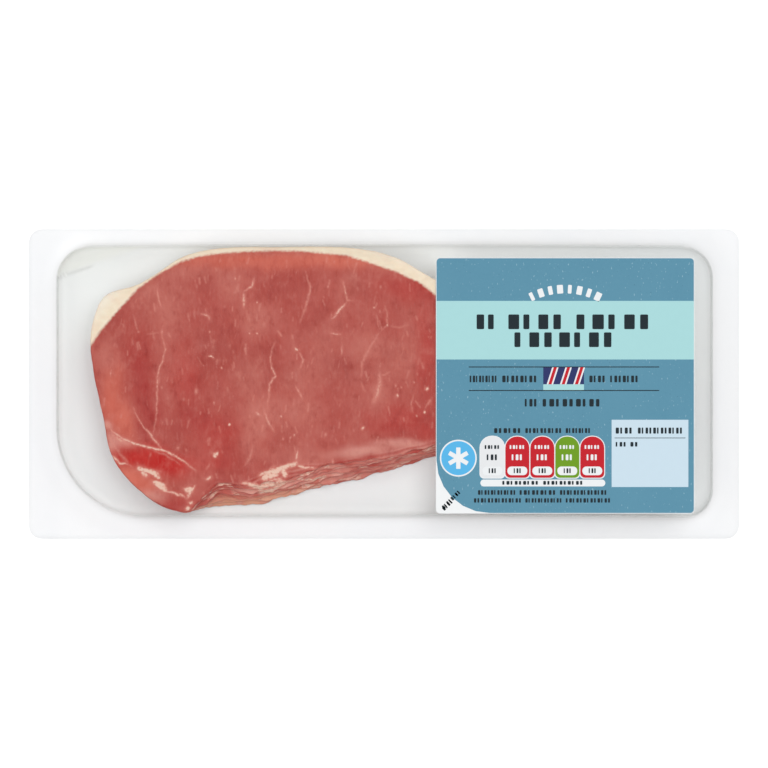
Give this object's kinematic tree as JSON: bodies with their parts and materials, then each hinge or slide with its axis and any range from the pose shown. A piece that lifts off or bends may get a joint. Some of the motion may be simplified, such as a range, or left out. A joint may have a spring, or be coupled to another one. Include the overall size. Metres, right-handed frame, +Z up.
{
  "type": "bacon pack",
  "caption": "Sealed pack of back bacon: a stack of rashers in a shallow clear formed film on a flat white backing, with a square front label.",
  "frame": {"origin": "middle of the back, on the surface that the pack lies on", "axes": "+X along the pack towards the label, +Y towards the rashers' fat side, +Z up out of the front"},
  "size_m": [0.25, 0.109, 0.0252],
  "materials": {
    "back_film": "opaque white film, satin",
    "clear_film": "clear formed film, glossy",
    "pork": "moist raw cured pork with cream fat along one side",
    "label": "printed label paper, satin"
  },
  "bodies": {
    "root": {"back_film": "back_film", "clear_pack": "clear_film", "rasher_01": "pork", "rasher_02": "pork", "rasher_03": "pork", "rasher_04": "pork", "rasher_05": "pork", "rasher_06": "pork", "rasher_07": "pork", "rasher_08": "pork", "rasher_09": "pork", "rasher_10": "pork", "front_label": "label"}
  },
  "joints": []
}
